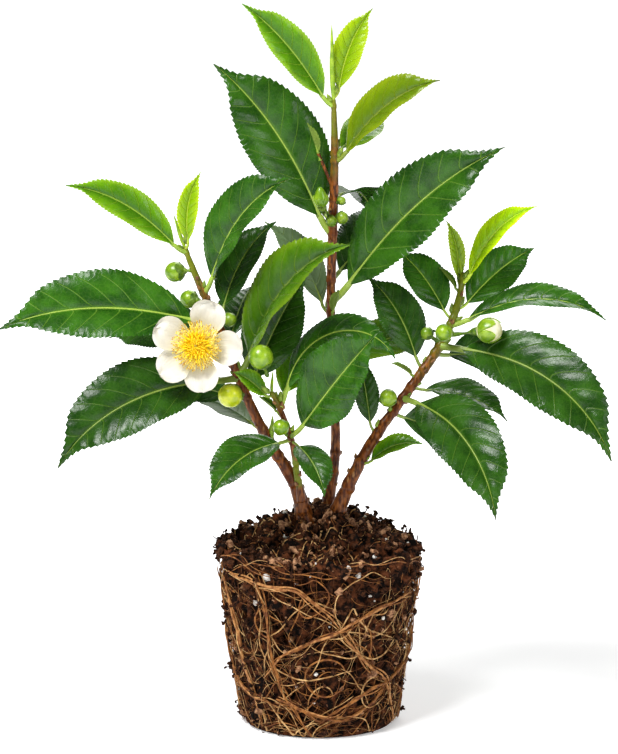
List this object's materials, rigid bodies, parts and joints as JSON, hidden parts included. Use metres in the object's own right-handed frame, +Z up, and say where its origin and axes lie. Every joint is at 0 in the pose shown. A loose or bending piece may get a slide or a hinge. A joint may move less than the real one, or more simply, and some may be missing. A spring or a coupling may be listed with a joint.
{
  "type": "tea bush",
  "caption": "Young flowering tea bush with branching woody stems, glossy toothed leaves, an open white flower and round green buds, on its bare root ball.",
  "frame": {"origin": "centre of the root ball's flat underside, on the surface that the plant stands on", "axes": "+Z up along the plant, -Y to the front where the open flower faces, +X to the right as seen from the front"},
  "size_m": [0.2402, 0.1101, 0.291],
  "materials": {
    "soil": "matte",
    "bark": "matte",
    "leaf_mature": "satin",
    "leaf_fresh": "satin",
    "leaf_tender": "satin",
    "bud": "satin",
    "petal": "matte",
    "stamen": "matte"
  },
  "bodies": {
    "root": {"bud_centre_6": "bud", "bud_inner_4": "bud", "bud_inner_5": "bud", "bud_left_1": "bud", "bud_left_2": "bud", "bud_left_3": "bud", "bud_right_7": "bud", "bud_right_8": "bud", "bud_right_9": "bud", "flower_petals": "petal", "flower_stamens": "stamen", "leaf_centre_01": "leaf_mature", "leaf_centre_02": "leaf_fresh", "leaf_centre_03": "leaf_mature", "leaf_centre_04": "leaf_mature", "leaf_centre_05": "leaf_mature", "leaf_centre_06": "leaf_mature", "leaf_centre_07": "leaf_mature", "leaf_centre_08": "leaf_mature", "leaf_centre_09": "leaf_tender", "leaf_centre_10": "leaf_fresh", "leaf_centre_11": "leaf_fresh", "leaf_centre_12": "leaf_tender", "leaf_inner_01": "leaf_mature", "leaf_inner_02": "leaf_mature", "leaf_inner_03": "leaf_mature", "leaf_inner_04": "leaf_mature", "leaf_inner_05": "leaf_fresh", "leaf_inner_06": "leaf_fresh", "leaf_left_01": "leaf_mature", "leaf_left_02": "leaf_mature", "leaf_left_03": "leaf_mature", "leaf_left_04": "leaf_mature", "leaf_left_05": "leaf_fresh", "leaf_left_06": "leaf_mature", "leaf_left_07": "leaf_mature", "leaf_left_08": "leaf_mature", "leaf_left_09": "leaf_mature", "leaf_left_10": "leaf_mature", "leaf_left_11": "leaf_fresh", "leaf_left_12": "leaf_tender", "leaf_right_01": "leaf_fresh", "leaf_right_02": "leaf_mature", "leaf_right_03": "leaf_mature", "leaf_right_04": "leaf_mature", "leaf_right_05": "leaf_mature", "leaf_right_06": "leaf_mature", "leaf_right_07": "leaf_mature", "leaf_right_08": "leaf_mature", "leaf_right_09": "leaf_mature", "leaf_right_10": "leaf_mature", "leaf_right_11": "leaf_mature", "leaf_right_12": "leaf_tender", "leaf_right_13": "leaf_tender", "root_ball": "soil", "stem_centre": "bark", "stem_inner": "bark", "stem_left": "bark", "stem_right": "bark"}
  },
  "joints": []
}
